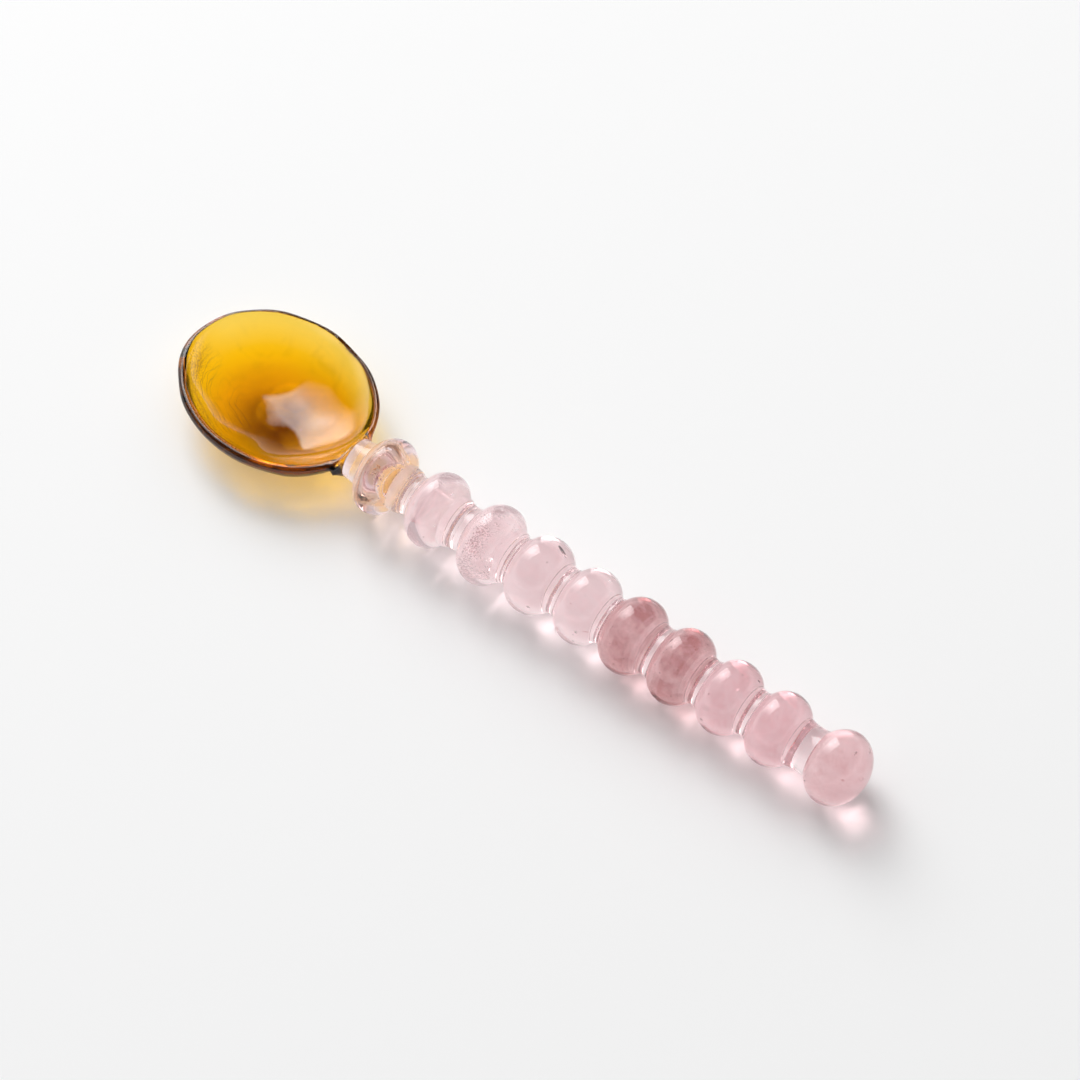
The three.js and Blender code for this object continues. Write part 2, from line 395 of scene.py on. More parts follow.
class SpoonStageSettings(bpy.types.PropertyGroup):
    """Camera, light and floor. A brightness of 1 is white"""

    azimuth: FloatProperty(
        name="Azimuth", description="Turn of the camera about the upright axis",
        default=math.radians(37.92), subtype="ANGLE")
    elevation: FloatProperty(
        name="Elevation", description="Height of the camera above the horizon",
        default=math.radians(54.0), subtype="ANGLE")
    distance: FloatProperty(
        name="Distance", description="Distance from the camera to its target",
        default=0.8, unit="LENGTH")
    lens: FloatProperty(
        name="Lens", description="Focal length in millimetres on a sensor 36 mm wide",
        default=147.4, unit="CAMERA")
    target: FloatVectorProperty(
        name="Target", description="Point on the floor that the camera looks at",
        default=(54.86 * MM, 7.55 * MM, 0.0), subtype="TRANSLATION")
    floor_half_width: FloatProperty(
        name="Floor half width", description="Distance from the floor's middle to its edge",
        default=4.0, unit="LENGTH")
    floor_colour: FloatVectorProperty(
        name="Floor colour", description="Colour of the plain floor",
        default=(0.93, 0.93, 0.93), subtype="COLOR")
    floor_paleness: FloatProperty(
        name="Floor paleness", description="Share of the floor's look that no shadow reaches",
        default=0.1, subtype="FACTOR")
    floor_gap: FloatProperty(
        name="Floor gap", description="Hair of air between the floor and the ground flat",
        default=0.03 * MM, unit="LENGTH")
    softbox_direction: FloatVectorProperty(
        name="Softbox direction", description="Direction from the spoon to the softbox",
        default=(-0.72, 0.33, 0.65), subtype="DIRECTION")
    softbox_distance: FloatProperty(
        name="Softbox distance", description="Distance from the spoon to the softbox",
        default=2.0, unit="LENGTH")
    softbox_width: FloatProperty(
        name="Softbox width", description="Width of the square softbox", default=1.8, unit="LENGTH")
    softbox_radiance: FloatProperty(
        name="Softbox radiance", description="Brightness of the softbox's panel", default=5.35)
    softbox_glow: FloatProperty(
        name="Softbox glow", description="Brightness of the softbox's middle as a multiple of its panel",
        default=1.7)
    glow_reach: FloatProperty(
        name="Glow reach", description="Share of the softbox's width over which that glow fades",
        default=0.3, subtype="FACTOR")
    softbox_trim: FloatProperty(
        name="Softbox trim", description="Share of the softbox's width that is masked on its sharp side",
        default=0.11, subtype="FACTOR")
    sharp_fade: FloatProperty(
        name="Sharp fade", description="Share of the softbox's width over which its sharp side fades",
        default=0.055, subtype="FACTOR")
    soft_fade: FloatProperty(
        name="Soft fade", description="Share of the softbox's width over which its soft side fades",
        default=0.44, subtype="FACTOR")
    end_fade: FloatProperty(
        name="End fade", description="Share of the softbox's width over which its top and bottom fade",
        default=0.11, subtype="FACTOR")
    fill_near: FloatProperty(
        name="Fill near", description="Light from the surroundings beside the softbox", default=0.78)
    fill_away: FloatProperty(
        name="Fill away", description="Light from the surroundings across from the softbox", default=0.04)
    horizon: FloatProperty(
        name="Horizon", description="Brightness that glass mirrors at floor level", default=1.6)
    zenith: FloatProperty(
        name="Zenith", description="Brightness that glass mirrors overhead", default=0.05)
    backdrop_low: FloatProperty(
        name="Backdrop low", description="Brightness of the backdrop at floor level", default=0.95)
    backdrop_high: FloatProperty(
        name="Backdrop high", description="Brightness of the backdrop overhead", default=0.6)


# Shader trees

def shader_node(tree, kind, inputs=(), **settings):
    """Adds a node. inputs pairs a socket's name or number with a value, or with the output that feeds it."""
    made = tree.nodes.new(kind)
    for key, value in settings.items():
        setattr(made, key, value)
    for key, value in dict(inputs).items():
        if isinstance(value, bpy.types.NodeSocket):
            tree.links.new(value, made.inputs[key])
        else:
            made.inputs[key].default_value = value
    return made


def object_coordinates(tree):
    return shader_node(tree, "ShaderNodeTexCoord").outputs["Object"]


def parts_of(tree, vector):
    """The X, Y and Z outputs of a vector."""
    return shader_node(tree, "ShaderNodeSeparateXYZ", {0: vector}).outputs


def attribute(tree, name):
    return shader_node(tree, "ShaderNodeAttribute", attribute_name=name).outputs["Fac"]


def span(tree, value, low, high, to_low=0.0, to_high=1.0):
    """value spread from low..high to to_low..to_high, and held at both ends."""
    made = shader_node(tree, "ShaderNodeMapRange", {
        "Value": value, "From Min": low, "From Max": high, "To Min": to_low, "To Max": to_high})
    return made.outputs["Result"]


def times(tree, first, second):
    return shader_node(tree, "ShaderNodeMath", {0: first, 1: second}, operation="MULTIPLY").outputs[0]


def plus(tree, first, second):
    return shader_node(tree, "ShaderNodeMath", {0: first, 1: second}, operation="ADD").outputs[0]


def difference(tree, first, second):
    """How far apart two numbers are."""
    gap = shader_node(tree, "ShaderNodeMath", {0: first, 1: second}, operation="SUBTRACT").outputs[0]
    return shader_node(tree, "ShaderNodeMath", {0: gap}, operation="ABSOLUTE").outputs[0]


def distance(tree, first, second):
    """How far apart two points are."""
    made = shader_node(tree, "ShaderNodeVectorMath", {0: first, 1: second}, operation="DISTANCE")
    return made.outputs["Value"]


def greater(tree, first, second):
    return shader_node(tree, "ShaderNodeMath", {0: first, 1: second}, operation="MAXIMUM").outputs[0]


def blended(tree, share, first, second):
    """A number between two others."""
    made = shader_node(tree, "ShaderNodeMix", {0: share, 2: first, 3: second}, data_type="FLOAT")
    return made.outputs[0]


def mixed(tree, share, first, second):
    """A colour between two others."""
    made = shader_node(tree, "ShaderNodeMix", {0: share, 6: first, 7: second}, data_type="RGBA")
    return made.outputs[2]


def noise(tree, vector, per_metre, detail=2.0, roughness=0.5, distortion=0.0):
    made = shader_node(tree, "ShaderNodeTexNoise", {
        "Vector": vector, "Scale": per_metre, "Detail": detail,
        "Roughness": roughness, "Distortion": distortion})
    return made.outputs["Fac"]


def cells(tree, vector, per_metre):
    """Distance from the nearest of a scatter of points, in cells."""
    made = shader_node(tree, "ShaderNodeTexVoronoi", {"Vector": vector, "Scale": per_metre})
    return made.outputs["Distance"]


def bump(tree, height, depth, under=None):
    inputs = {"Height": height, "Distance": depth, "Strength": 1.0}
    if under is not None:
        inputs["Normal"] = under
    return shader_node(tree, "ShaderNodeBump", inputs).outputs["Normal"]


def tinted_volume(tree, passes, output):
    """Plain absorption of a glass that lets `passes` of the light through each millimetre."""
    loss = [-math.log(share) / MM for share in passes]
    density = max(loss)
    colour = [1 - value / density for value in loss]
    absorption = shader_node(tree, "ShaderNodeVolumeAbsorption", {
        "Color": (*colour, 1.0), "Density": density})
    tree.links.new(absorption.outputs["Volume"], output.inputs["Volume"])


def glass_material(name, passes, colour, roughness, normal, ior=None):
    """Clear glass with a tinted body. The last four are functions of the tree that make what feeds
    the shader, and without the last the refraction is the same all over."""
    material = bpy.data.materials.new(name)
    material.use_nodes = True
    tree = material.node_tree
    tree.nodes.clear()
    output = shader_node(tree, "ShaderNodeOutputMaterial")
    shader = shader_node(tree, "ShaderNodeBsdfPrincipled", {
        "Base Color": colour(tree), "Roughness": roughness(tree), "Normal": normal(tree),
        "IOR": ior(tree) if ior else GLASS_IOR, "Transmission Weight": 1.0})
    tree.links.new(shader.outputs["BSDF"], output.inputs["Surface"])
    tinted_volume(tree, passes, output)
    return material


def amber_marks(tree, place):
    """Hairline cords and a smoke of fine grains on one side of the bowl, and a few specks all over."""
    sides = parts_of(tree, place)
    ring = attribute(tree, "ring")
    nearness = plus(tree, times(tree, sides["X"], 0.25), sides["Y"])
    near_rim = span(tree, nearness, -2.0 * MM, -7.0 * MM)
    left_side = times(tree, near_rim, span(tree, sides["X"], 6.0 * MM, -3.0 * MM))
    wander = times(tree, noise(tree, place, per_metre=90.0, detail=3.0), 5.0)
    round_bowl = plus(tree, times(tree, ring, 14.0), wander)
    cord = shader_node(
        tree, "ShaderNodeTexNoise", {"W": round_bowl, "Scale": 3.0, "Detail": 2.0},
        noise_dimensions="1D").outputs["Fac"]
    patch = span(tree, noise(tree, place, per_metre=120.0), 0.36, 0.5)
    hairline = times(tree, times(tree, span(tree, cord, 0.6, 0.68), patch), left_side)
    hairline = times(tree, hairline, 0.8)
    under_lip = times(tree, span(tree, ring, 0.78, 0.86), span(tree, ring, 0.93, 0.9))
    grains = span(tree, noise(tree, place, per_metre=2600.0, detail=3.0), 0.42, 0.62)
    smoke = times(tree, times(tree, times(tree, grains, left_side), under_lip), 0.9)
    speck = span(tree, cells(tree, place, per_metre=170.0), 0.05, 0.03)
    return greater(tree, greater(tree, hairline, smoke), speck)


def amber_body(tree, place, colours):
    """Amber with darker wisps of its own, a painted shade in its middle, a painted light that makes the rim
    pale on the far side, and a painted shade that browns the near wall.
    """
    sides = parts_of(tree, place)
    ring = attribute(tree, "ring")
    # Painted shade: darker amber round the middle, for the shadowed floor seen through the bowl; the wisps
    # are the glass's own uneven colour
    drift = times(tree, noise(tree, place, per_metre=150.0, detail=3.0), 6.0 * MM)
    heart = span(tree, plus(tree, distance(tree, place, SHADE_MIDDLE), drift), HEART_SHADE_GONE, HEART_SHADE_FULL)
    wisp = noise(tree, place, per_metre=110.0, detail=4.0, distortion=2.0)
    deep = greater(tree, heart, span(tree, wisp, 0.56, 0.72, to_high=0.24))
    body = mixed(tree, deep, (*colours.amber_skin, 1.0), (*colours.amber_heart, 1.0))
    # Painted light: the rim on the far side is made paler, for the lit floor seen through it
    far_side = span(tree, sides["Y"], -2.0 * MM, 6.0 * MM)
    lit_far_rim = times(tree, span(tree, ring, 0.7, 0.95), far_side)
    body = mixed(tree, lit_far_rim, body, (*colours.amber_rim, 1.0))
    # Painted shade: the wall and lip crest on the side towards the camera are browned, standing for the
    # shadowed floor seen in them
    near_side = span(tree, sides["Y"], -3.5 * MM, -7.5 * MM)
    wall = times(tree, attribute(tree, "wall"), near_side)
    return mixed(tree, wall, body, (*colours.amber_wall, 1.0))


def amber_glass(colours):
    """Amber with its marks, slow ripples, and a fine grain on the lip."""

    def colour(tree):
        place = object_coordinates(tree)
        return mixed(tree, amber_marks(tree, place), amber_body(tree, place, colours), AMBER_MARK)

    def roughness(tree):
        grain = noise(tree, object_coordinates(tree), per_metre=5000.0, detail=1.0)
        return times(tree, attribute(tree, "lip"), span(tree, grain, 0.4, 0.65, 0.1, 0.35))

    def normal(tree):
        ripples = noise(tree, object_coordinates(tree), per_metre=260.0, detail=3.0)
        return bump(tree, ripples, depth=0.02 * MM)

    return glass_material("amber_glass", colours.amber, colour, roughness, normal)


def rose_glass(name, passes, skin, core=CLEAR[:3], grain=0.0):
    """Rose with veils of its own colour, slow ripples and seeds. Where a bead is wound on the rod
    it has a cloudy core and patches of a grain of air."""

    def colour(tree):
        place = object_coordinates(tree)
        cloud = span(tree, noise(tree, place, per_metre=260.0, detail=4.0, roughness=0.6), 0.3, 0.6)
        inside = mixed(tree, times(tree, cloud, attribute(tree, "core")), CLEAR, (*core, 1.0))
        veil = noise(tree, place, per_metre=560.0, detail=4.0, roughness=0.6, distortion=1.5)
        veil = span(tree, veil, 0.46, 0.66, to_high=0.7)
        twice = [share ** 2 for share in skin]
        outer = mixed(tree, veil, (*skin, 1.0), (*twice, 1.0))
        body = mixed(tree, attribute(tree, "outside"), inside, outer)
        speck = span(tree, cells(tree, place, per_metre=330.0), 0.045, 0.025, to_high=0.6)
        return mixed(tree, speck, body, ROSE_SPECK)

    def roughness(tree):
        dull = noise(tree, object_coordinates(tree), per_metre=150.0)
        return span(tree, dull, 0.45, 0.75, to_high=0.06)

    def normal(tree):
        place = object_coordinates(tree)
        seed = span(tree, cells(tree, place, per_metre=420.0), 0.02, 0.12)
        slow = bump(tree, noise(tree, place, per_metre=200.0, detail=2.0), depth=0.015 * MM)
        return bump(tree, seed, depth=0.01 * MM, under=slow)

    def ior(tree):
        place = object_coordinates(tree)
        seed = span(tree, cells(tree, place, per_metre=420.0), 0.13, 0.09, to_high=SEED_AIR)
        air = span(tree, noise(tree, place, per_metre=4500.0, detail=2.0), 0.5, 0.65, to_high=grain)
        air = times(tree, air, span(tree, noise(tree, place, per_metre=190.0), 0.46, 0.56))
        fused = plus(tree, greater(tree, air, seed), FUSED_IOR)
        return blended(tree, attribute(tree, "outside"), fused, GLASS_IOR)

    return glass_material(name, passes, colour, roughness, normal, ior)


# Meshes

def add_piece(name, mesh, node, material):
    """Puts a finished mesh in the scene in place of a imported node."""
    mesh.materials.append(material)
    piece = bpy.data.objects.new(name, mesh)
    bpy.context.scene.collection.objects.link(piece)
    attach(piece, BODY)
    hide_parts(node)


def smooth_with_creases(mesh, crease=math.radians(40.0)):
    """Shades a mesh smooth, apart from edges sharper than the crease angle."""
    work = bmesh.new()
    work.from_mesh(mesh)
    for face in work.faces:
        face.smooth = True
    for edge in work.edges:
        edge.smooth = edge.calc_face_angle(0.0) < crease
    work.to_mesh(mesh)
    work.free()


def set_values(mesh, name, domain, values):
    """Stores a number on each face or point of a mesh, for its material to read."""
    layer = mesh.attributes.new(name, "FLOAT", domain)
    layer.data.foreach_set("value", np.asarray(values, np.float32))


def band_faces(first, second):
    """Faces between two rings of as many vertices. A ring may be one vertex, repeated."""
    for j in range(len(first)):
        k = (j + 1) % len(first)
        yield tuple(dict.fromkeys((first[j], first[k], second[k], second[j])))


def ball_mesh():
    """Vertices and faces of a ball of radius 1 whose faces look inwards."""
    tilts = np.linspace(0, math.pi, BUBBLE_RINGS + 2)[1:-1]
    turns = np.linspace(0, 2 * math.pi, BUBBLE_SIDES, endpoint=False)
    vertices = [(0, 0, 1)]
    rings = [[0] * BUBBLE_SIDES]
    for tilt in tilts:
        rings.append(list(range(len(vertices), len(vertices) + BUBBLE_SIDES)))
        for turn in turns:
            vertices.append((
                math.sin(tilt) * math.cos(turn), math.sin(tilt) * math.sin(turn), math.cos(tilt)))
    rings.append([len(vertices)] * BUBBLE_SIDES)
    vertices.append((0, 0, -1))
    faces = [face for above, below in zip(rings, rings[1:]) for face in band_faces(above, below)]
    return np.array(vertices), faces


def bubble_faces(outline, count, sizes, seed):
    """Vertices and faces of small round hollows under a bead's outline."""
    draw = np.random.default_rng(seed)
    ball, patches = ball_mesh()
    low, high = outline[0][0], outline[-1][0]
    crown_along = [row[0] for row in outline]
    crown_radius = [row[1] for row in outline]
    vertices = []
    faces = []
    for _ in range(count):
        size = draw.uniform(sizes.small_bubble, sizes.large_bubble)
        along = low + (high - low) * draw.uniform(BUBBLE_LOW, BUBBLE_HIGH)
        inner = rod_radius(along) + 2 * size
        outer = np.interp(along, crown_along, crown_radius) - 2 * size
        radius = inner + (outer - inner) * draw.uniform(0, BUBBLE_DEPTH)
        angle = draw.uniform(0, 2 * math.pi)
        around = HANDLE_SIDE * math.cos(angle) + HANDLE_UP * math.sin(angle)
        start = len(vertices)
        vertices.extend(HANDLE_START + HANDLE_AXIS * along + around * radius + ball * size)
        faces.extend(tuple(start + corner for corner in patch) for patch in patches)
    return vertices, faces


def turned_mesh(name, profile, outside, segments, core=None, ripple=0.0, closed=False, seed=0,
                hollows=([], [])):
    """Turns a profile of (distance along the handle, radius, share of the ripple) about the handle's axis.
    outside says of each stretch of the profile whether it is open to the air, and core how cloudy it is.
    hollows are the vertices and faces of the bubbles inside."""
    angle = np.linspace(0, 2 * math.pi, segments, endpoint=False)
    rim = np.outer(np.cos(angle), HANDLE_SIDE) + np.outer(np.sin(angle), HANDLE_UP)
    phases = np.random.default_rng(seed).uniform(0, 2 * math.pi, len(RIPPLES))
    vertices = []
    rings = []
    for along, radius, share in profile:
        base = HANDLE_START + HANDLE_AXIS * along
        start = len(vertices)
        if radius == 0:
            vertices.append(base)
            rings.append([start] * segments)
            continue
        swell = sum(
            height * np.sin(lobes * angle + phase + turn * along / RIPPLE_LENGTH)
            for (lobes, turn, height), phase in zip(RIPPLES, phases))
        sunk = (swell / RIPPLE_TOP - 1) * ripple * share
        vertices.extend(base + rim * (radius + sunk)[:, None])
        rings.append(list(range(start, start + segments)))
    faces = []
    pairs = list(zip(rings, rings[1:]))
    if closed:
        pairs.append((rings[-1], rings[0]))
    for first, second in pairs:
        faces.extend(band_faces(first, second))
    start = len(vertices)
    vertices.extend(hollows[0])
    faces.extend(tuple(start + corner for corner in face) for face in hollows[1])
    clouds = core or [0.0] * len(pairs)
    bubbles = len(hollows[1])
    mesh = bpy.data.meshes.new(name)
    mesh.from_pydata(vertices, [], faces)
    set_values(mesh, "outside", "FACE", np.append(np.repeat(outside, segments), np.ones(bubbles)))
    set_values(mesh, "core", "FACE", np.append(np.repeat(clouds, segments), np.zeros(bubbles)))
    smooth_with_creases(mesh)
    return mesh


class BeadShape:
    """A bead's place and sizes along the handle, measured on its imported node."""

    def __init__(self, name):
        along, radius = turned_profile(name)
        collar_start, collar_reach = COLLARS.get(name, (0.0, 0.0))
        self.collared = collar_reach > 0
        self.low = along.min()
        self.high = along.max() + collar_reach
        self.crown_end = along.max() - collar_start
        self.radius = radius.max()


def bead_outline(bead, sizes):
    """Outer profile of a bead from seam to seam: a round crown that ends in a fillet or a collar."""
    start = bead.low + sizes.fillet
    end = bead.crown_end if bead.collared else bead.high - sizes.fillet
    crown_middle = (start + end) / 2
    crown_half = (end - start) / 2
    rise = bead.radius - rod_radius(crown_middle) - sizes.seam
    crown_rise = rise - sizes.fillet_rise
    arc_radius = (crown_half ** 2 + crown_rise ** 2) / (2 * crown_rise)
    start_angle = 2 * math.atan(crown_rise / crown_half)
    foot_rise = sizes.collar_rise if bead.collared else sizes.fillet_rise
    end_angle = math.acos(1 - (rise - foot_rise) / arc_radius)
    foot_start = crown_middle + arc_radius * math.sin(end_angle)
    places = []
    for share in np.linspace(0, 1, FILLET_STEPS + 1)[:-1]:
        places.append((bead.low + sizes.fillet * share, sizes.fillet_rise * share ** 2))
    for angle in np.linspace(-start_angle, end_angle, sizes.steps):
        lift = rise - arc_radius * (1 - math.cos(angle))
        places.append((crown_middle + arc_radius * math.sin(angle), lift))
    for share in np.linspace(0, 1, FILLET_STEPS + 1)[1:]:
        lift = 1 - share ** 2 if bead.collared else (1 - share) ** 2
        places.append((foot_start + (bead.high - foot_start) * share, foot_rise * lift))
    return [(along, rod_radius(along) + sizes.seam + lift, lift / rise) for along, lift in places]


def knob_outline(sizes):
    """Outer profile of the end knob, from its seam on the rod to its tip."""
    along, radius = turned_profile("end_knob")
    tip = along.max()
    belly = along[np.argmax(radius)]
    mouth = along.min()
    neck = rod_radius(mouth)
    mouth_angle = math.pi - math.asin((neck + sizes.fillet) / radius.max())
    outline = []
    for share in np.linspace(0, 1, FILLET_STEPS + 1)[:-1]:
        lift = sizes.fillet * share ** 2 * KNOB_FILLET_RISE
        outline.append((mouth - sizes.fillet * (1 - share), neck + sizes.seam + lift, 0.0))
    for angle in np.linspace(mouth_angle, 0, sizes.steps):
        place = belly + (tip - belly) * math.cos(angle)
        outline.append((place, radius.max() * math.sin(angle), math.sin(angle)))
    outline[-1] = (tip, 0.0, 0.0)
    return outline


# The bowl's skin, drawn where a smooth field is zero

def smooth_union(first, second, reach):
    """The nearer of two distances, with a soft fillet where they are alike."""
    overlap = np.maximum(reach - np.abs(first - second), 0) / reach
    return np.minimum(first, second) - overlap ** 2 * reach / 4


def dish_distance(points, shape, sizes):
    """About the distance from the dish: a shell between two ellipses, closed by a round lip."""
    radius = shape.ring(points) * shape.half_width
    height = points[:, 2]
    lip = shape.lip_radius(points)
    lip_middle = shape.half_width - lip
    lip_height = shape.lip_top - lip
    lip_start = sizes.wall_slope - math.pi / 2
    lip_end = sizes.hollow_slope + math.pi / 2
    wall = ellipse_distance(
        radius, height, -sizes.ground_depth, lip_middle + lip * math.cos(lip_start),
        lip_height + lip * math.sin(lip_start), sizes.wall_slope)
    hollow = ellipse_distance(
        radius, height, shape.floor, lip_middle + lip * math.cos(lip_end),
        lip_height + lip * math.sin(lip_end), sizes.hollow_slope)
    beyond = radius - lip_middle
    above = height - lip_height
    angle = np.arctan2(above, beyond)
    over_lip = (angle > lip_start) & (angle < lip_end)
    return np.where(over_lip, np.hypot(beyond, above) - lip, np.maximum(wall, -hollow))


def heel_distance(points, shape, sizes):
    """About the distance from the heel: it leaves the lip broad and low, and runs on into the rod."""
    stretch = shape.half_length / shape.half_width
    root = shape.lengthwise * (shape.half_length - sizes.lip_radius * stretch)
    root = root + np.array((0, 0, shape.lip_top - sizes.heel_depth / 2))
    neck = rod_radius(ROD_START)
    line = JOINT - root
    reach = line @ HANDLE_AXIS
    along = (points - root) @ HANDLE_AXIS
    share = np.clip(along / reach, 0, 1)
    flare = (1 - share) ** 2
    half_width = neck + (sizes.heel_half_width - neck) * flare
    half_height = neck + (sizes.heel_depth / 2 - neck) * flare
    beyond = np.maximum(along - reach, 0)[:, None]
    offset = points - root - share[:, None] * line - beyond * HANDLE_AXIS
    turned = (1 - share)[:, None] * shape.crosswise + share[:, None] * HANDLE_SIDE
    side = (offset * turned).sum(axis=1)
    lateral = oval_distance(side, offset[:, 2], half_width, half_height)
    return np.maximum(lateral, np.maximum(-along, along - reach - MM))


def slow_waves(points, sizes):
    """Gentle unevenness: a few seeded waves in different directions."""
    draw = np.random.default_rng(WAVE_SEED)
    total = np.zeros(len(points))
    for _ in range(WAVES):
        direction = draw.normal(size=3)
        direction /= np.linalg.norm(direction)
        length = sizes.wave_length * draw.uniform(1, LONGEST_WAVE)
        total += np.sin(points @ direction * 2 * math.pi / length + draw.uniform(0, 2 * math.pi))
    return total * sizes.wave_height / 2


def surface_net(field, low, high, cell):
    """Quads over the surface where field is zero, with one vertex in each grid cell that it crosses."""
    counts = np.ceil((high - low) / cell).astype(int) + 1
    axes = [low[i] + cell * np.arange(counts[i]) for i in range(3)]
    grid = np.stack(np.meshgrid(*axes, indexing="ij"), axis=-1)
    inside = field(grid.reshape(-1, 3)).reshape(counts) < 0
    last = counts - 1
    corners_of_cell = list(itertools.product((0, 1), repeat=3))
    filled = sum(
        inside[x:last[0] + x, y:last[1] + y, z:last[2] + z].astype(int) for x, y, z in corners_of_cell)
    crossed = (filled > 0) & (filled < len(corners_of_cell))
    index = np.full(crossed.shape, -1)
    index[crossed] = np.arange(crossed.sum())
    vertices = low + (np.argwhere(crossed) + 0.5) * cell
    quads = []
    for a in range(3):
        b = (a + 1) % 3
        c = (a + 2) % 3
        near = np.take(inside, range(last[a]), axis=a)
        far = np.take(inside, range(1, counts[a]), axis=a)
        edges = np.argwhere(near != far)
        corners = []
        for step_b, step_c in ((-1, -1), (0, -1), (0, 0), (-1, 0)):
            place = edges.copy()
            place[:, b] += step_b
            place[:, c] += step_c
            corners.append(index[tuple(place.T)])
        quad = np.stack(corners, axis=1)
        entering = far[tuple(edges.T)]
        quad[entering] = quad[entering][:, ::-1]
        quads.append(quad)
    return vertices, np.concatenate(quads)


def settle(points, field, rounds=10, probe=0.02 * MM, least_steep=0.05):
    """Moves points along the field's slope until they lie where it is zero."""
    points = points.copy()
    for _ in range(rounds):
        slope = np.stack([
            (field(points + step) - field(points - step)) / (2 * probe)
            for step in np.eye(3) * probe], axis=1)
        steep = np.maximum((slope ** 2).sum(axis=1), least_steep)
        points -= (field(points) / steep)[:, None] * slope
    return points


def cut_flat(work, point, normal):
    """Cuts a bmesh off beyond a plane and closes it with a flat face."""
    everything = work.verts[:] + work.edges[:] + work.faces[:]
    cut = bmesh.ops.bisect_plane(
        work, geom=everything, dist=CUT_TOLERANCE, plane_co=point, plane_no=normal, clear_outer=True)
    rim = [item for item in cut["geom_cut"] if isinstance(item, bmesh.types.BMEdge)]
    for face in bmesh.ops.edgeloop_fill(work, edges=rim)["faces"]:
        if face.normal.dot(Vector(normal)) < 0:
            face.normal_flip()


def mark_bowl(mesh, shape, sizes):
    """Stores how far out each point of the bowl lies, how far it is lip, and how much of the painted shade
    of the near wall it takes.
    """
    points = np.array([vertex.co for vertex in mesh.vertices])
    normals = np.array([vertex.normal for vertex in mesh.vertices])
    ring = shape.ring(points)
    lip = shape.lip_radius(points)
    over_top = points[:, 2] - shape.lip_top
    crest = np.clip((over_top + lip) / lip, 0, 1) * (ring > LIP_RING)
    from_axis = np.maximum(np.hypot(points[:, 0], points[:, 1]), MM)
    outward = (normals[:, :2] * points[:, :2]).sum(axis=1) / from_axis
    # wall is the mask of the painted shade on the near wall
    leaning = np.clip((outward - WALL_SHADE_START) / (WALL_SHADE_FULL - WALL_SHADE_START), 0, 1)
    under_lip = np.clip((over_top + sizes.wall_band) / MM, 0, 1)
    set_values(mesh, "ring", "POINT", ring)
    set_values(mesh, "lip", "POINT", crest * lip / sizes.lip_radius)
    set_values(mesh, "wall", "POINT", leaning * under_lip)


def bowl_mesh(sizes):
    """The bowl: dish and heel drawn as one skin, ground flat below and cut square to the rod."""
    shape = BowlShape(sizes)

    def field(points):
        dish = dish_distance(points, shape, sizes)
        heel = heel_distance(points, shape, sizes)
        return smooth_union(dish, heel, sizes.heel_blend) + slow_waves(points, sizes) + sizes.inset

    low, high = (np.array(corner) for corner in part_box("bowl"))
    margin = 3 * MM
    vertices, quads = surface_net(field, low - margin, high + margin, sizes.cell)
    vertices = settle(vertices, field)
    mesh = bpy.data.meshes.new("bowl_glass")
    mesh.from_pydata(vertices, [], quads.tolist())
    work = bmesh.new()
    work.from_mesh(mesh)
    cut_flat(work, (0, 0, 0), (0, 0, -1))
    cut_flat(work, JOINT - HANDLE_AXIS * HEEL_GAP, HANDLE_AXIS)
    bmesh.ops.dissolve_degenerate(work, dist=SHORTEST_EDGE, edges=work.edges)
    work.to_mesh(mesh)
    work.free()
    smooth_with_creases(mesh)
    mark_bowl(mesh, shape, sizes)
    return mesh


def rod_lines(sizes):
    """Profile of the core rod, with a saddle in each bare neck, and which of its stretches are bare."""
    covers = [BeadShape(name) for name in (*BEADS, "end_knob")]
    start = ROD_START
    profile = [(start, 0.0, 0.0)]
    outside = [1.0]
    for cover in covers:
        for share in np.linspace(0, 1, NECK_STEPS + 1):
            along = start + (cover.low - start) * share
            curve = 2 * share - 1 if start > ROD_START else share
            profile.append((along, rod_radius(along) + sizes.saddle * (curve ** 2 - NECK_DROP), 0.0))
        outside += [1.0] * NECK_STEPS
        start = min(cover.high, ROD_END)
        covered = np.linspace(cover.low, start, COVERED_POINTS)
        profile += [(along, rod_radius(along), 0.0) for along in covered]
        outside += [0.0] * (COVERED_POINTS + 1)
    profile.append((start, 0.0, 0.0))
    return profile, outside


# Operators

class SPOON_OT_bowl(bpy.types.Operator):
    """Presses the amber bowl with its round lip, ground flat and heel"""

    bl_idname = "spoon.bowl"
    bl_label = "Amber bowl"

    def execute(self, context):
        mesh = bowl_mesh(context.scene.spoon_bowl)
        add_piece("bowl_glass", mesh, "bowl", amber_glass(context.scene.spoon_glass))
        return {"FINISHED"}


class SPOON_OT_core_rod(bpy.types.Operator):
    """Draws the rose rod that carries the beads"""

    bl_idname = "spoon.core_rod"
    bl_label = "Core rod"

    def execute(self, context):
        sizes = context.scene.spoon_handle
        colours = context.scene.spoon_glass
        profile, outside = rod_lines(sizes)
        mesh = turned_mesh("core_rod_glass", profile, outside, sizes.segments)
        material = rose_glass("core_rod_glass", colours.rod, colours.rod_skin)
        add_piece("core_rod_glass", mesh, "core_rod", material)
        return {"FINISHED"}


